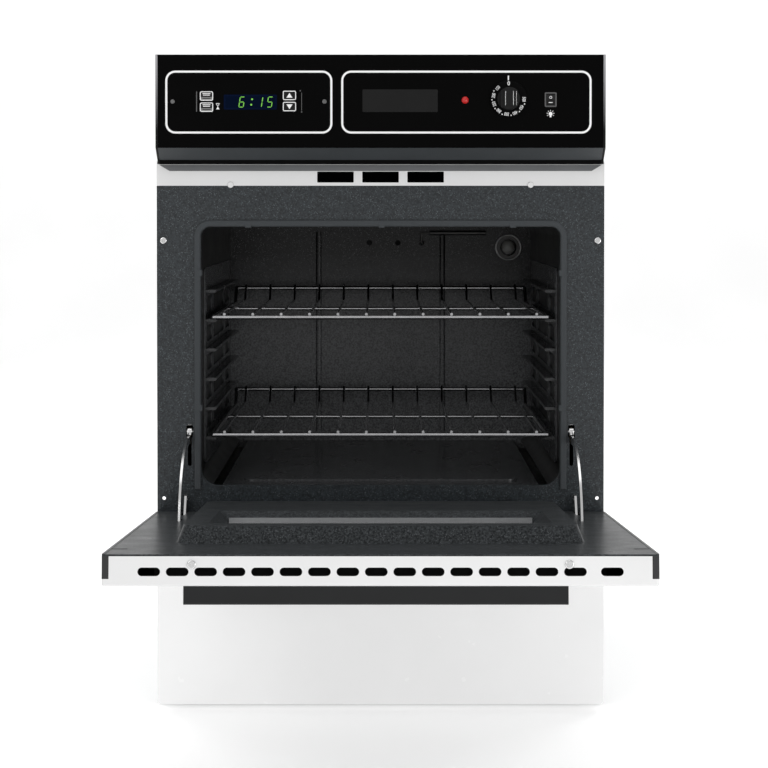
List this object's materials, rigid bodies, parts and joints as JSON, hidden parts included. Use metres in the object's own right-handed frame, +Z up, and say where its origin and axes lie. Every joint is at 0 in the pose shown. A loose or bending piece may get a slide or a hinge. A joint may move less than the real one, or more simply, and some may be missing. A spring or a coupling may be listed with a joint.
{
  "type": "wall oven",
  "caption": "Built-in gas wall oven: control panel with clock and knob, drop-down window door, wire racks in an enamelled cavity, broiler drawer below.",
  "frame": {"origin": "centre of the cabinet's flat underside, half way back", "axes": "+Z up, -Y out of the front (the side the door drops to), +X to the right seen from the front"},
  "size_m": [0.606, 1.0839, 0.876],
  "materials": {
    "white_enamel": "gloss enamel",
    "speckled_enamel": "gloss enamel with fine light specks",
    "black_panel": "high gloss",
    "visor_paint": "satin",
    "handle_paint": "satin",
    "trim_black": "satin",
    "galvanised": "spangled zinc",
    "aluminised": "dull",
    "bright_steel": "satin",
    "chrome_wire": "polished",
    "end_trim": "brushed",
    "cast_aluminium": "cast",
    "window_glass": "clear",
    "outer_glass": "black, gloss",
    "lamp_glass": "clear",
    "porcelain": "glazed",
    "mineral_wool": "matt fibre",
    "gasket_braid": "woven",
    "display_glass": "gloss",
    "key_black": "gloss",
    "red_lens": "clear red",
    "rubber_black": "matt",
    "zinc_burner": "heat-marked"
  },
  "bodies": {
    "cabinet": {"back_panel": "galvanised", "base_pan": "galvanised", "burner_igniter": "porcelain", "cavity_back": "speckled_enamel", "cavity_floor": "speckled_enamel", "cavity_wrap": "speckled_enamel", "clock_module": "trim_black", "clock_window": "display_glass", "control_panel": "black_panel", "control_panel_trims": "end_trim", "control_panel_visor": "visor_paint", "divider_shelf": "galvanised", "door_gasket": "gasket_braid", "drawer_rails": "galvanised", "fasteners": "bright_steel", "flame_spreader": "aluminised", "flue_duct": "aluminised", "front_frame": "speckled_enamel", "gas_pipes": "cast_aluminium", "gas_regulator": "cast_aluminium", "hinge_brackets": "bright_steel", "hinge_springs": "bright_steel", "indicator_lens": "red_lens", "insulation_wrap": "mineral_wool", "lamp_bulb": "lamp_glass", "lamp_socket": "porcelain", "light_switch_frame": "trim_black", "oven_burner": "zinc_burner", "power_gland": "rubber_black", "rack_guides": "speckled_enamel", "safety_valve": "cast_aluminium", "side_panel_left": "galvanised", "side_panel_right": "galvanised", "thermostat_bulb": "bright_steel", "thermostat_valve": "cast_aluminium", "top_panel": "galvanised", "top_trim_strip": "white_enamel"},
    "oven_door": {"door_outer_skin": "white_enamel", "door_side_trims": "trim_black", "door_inner_panel": "speckled_enamel", "door_window_inner": "window_glass", "door_window_outer": "outer_glass", "door_insulation": "mineral_wool", "door_handle": "handle_paint", "door_screws": "bright_steel", "hinge_arms": "bright_steel"},
    "upper_rack": {"upper_rack": "chrome_wire"},
    "lower_rack": {"lower_rack": "chrome_wire"},
    "broiler_drawer": {"drawer_front": "white_enamel", "drawer_inner_panel": "galvanised", "drawer_handle": "handle_paint", "drawer_tray": "aluminised", "broiler_pan": "speckled_enamel", "broiler_grid": "speckled_enamel"},
    "thermostat_knob": {"thermostat_knob": "key_black"},
    "light_switch_rocker": {"light_switch_rocker": "key_black"},
    "clock_key_cook": {"clock_key_cook": "key_black"},
    "clock_key_stop": {"clock_key_stop": "key_black"},
    "clock_key_up": {"clock_key_up": "key_black"},
    "clock_key_down": {"clock_key_down": "key_black"}
  },
  "joints": [
    {"name": "oven_door_hinge", "type": "hinge", "parent": "cabinet", "child": "oven_door", "pos_m": [0, -0.3, 0.248], "axis": [1, 0, 0], "range_deg": [-86, 0], "deforming": ["hinge_springs"]},
    {"name": "upper_rack_slide", "type": "slide", "parent": "cabinet", "child": "upper_rack", "axis": [0, -1, 0], "range_m": [0, 0.3]},
    {"name": "lower_rack_slide", "type": "slide", "parent": "cabinet", "child": "lower_rack", "axis": [0, -1, 0], "range_m": [0, 0.3]},
    {"name": "broiler_drawer_slide", "type": "slide", "parent": "cabinet", "child": "broiler_drawer", "axis": [0, -1, 0], "range_m": [0, 0.36]},
    {"name": "thermostat_knob_turn", "type": "hinge", "parent": "cabinet", "child": "thermostat_knob", "pos_m": [0.17, -0.3215, 0.8168], "axis": [0, -1, 0], "range_deg": [0, 290]},
    {"name": "light_switch_rock", "type": "hinge", "parent": "cabinet", "child": "light_switch_rocker", "pos_m": [0.2262, -0.319, 0.816], "axis": [1, 0, 0], "range_deg": [-14, 0]},
    {"name": "clock_key_cook_press", "type": "slide", "parent": "cabinet", "child": "clock_key_cook", "axis": [0, 1, 0], "range_m": [0, 0.0012], "stiffness_N_per_m": 300},
    {"name": "clock_key_stop_press", "type": "slide", "parent": "cabinet", "child": "clock_key_stop", "axis": [0, 1, 0], "range_m": [0, 0.0012], "stiffness_N_per_m": 300},
    {"name": "clock_key_up_press", "type": "slide", "parent": "cabinet", "child": "clock_key_up", "axis": [0, 1, 0], "range_m": [0, 0.0012], "stiffness_N_per_m": 300},
    {"name": "clock_key_down_press", "type": "slide", "parent": "cabinet", "child": "clock_key_down", "axis": [0, 1, 0], "range_m": [0, 0.0012], "stiffness_N_per_m": 300}
  ]
}
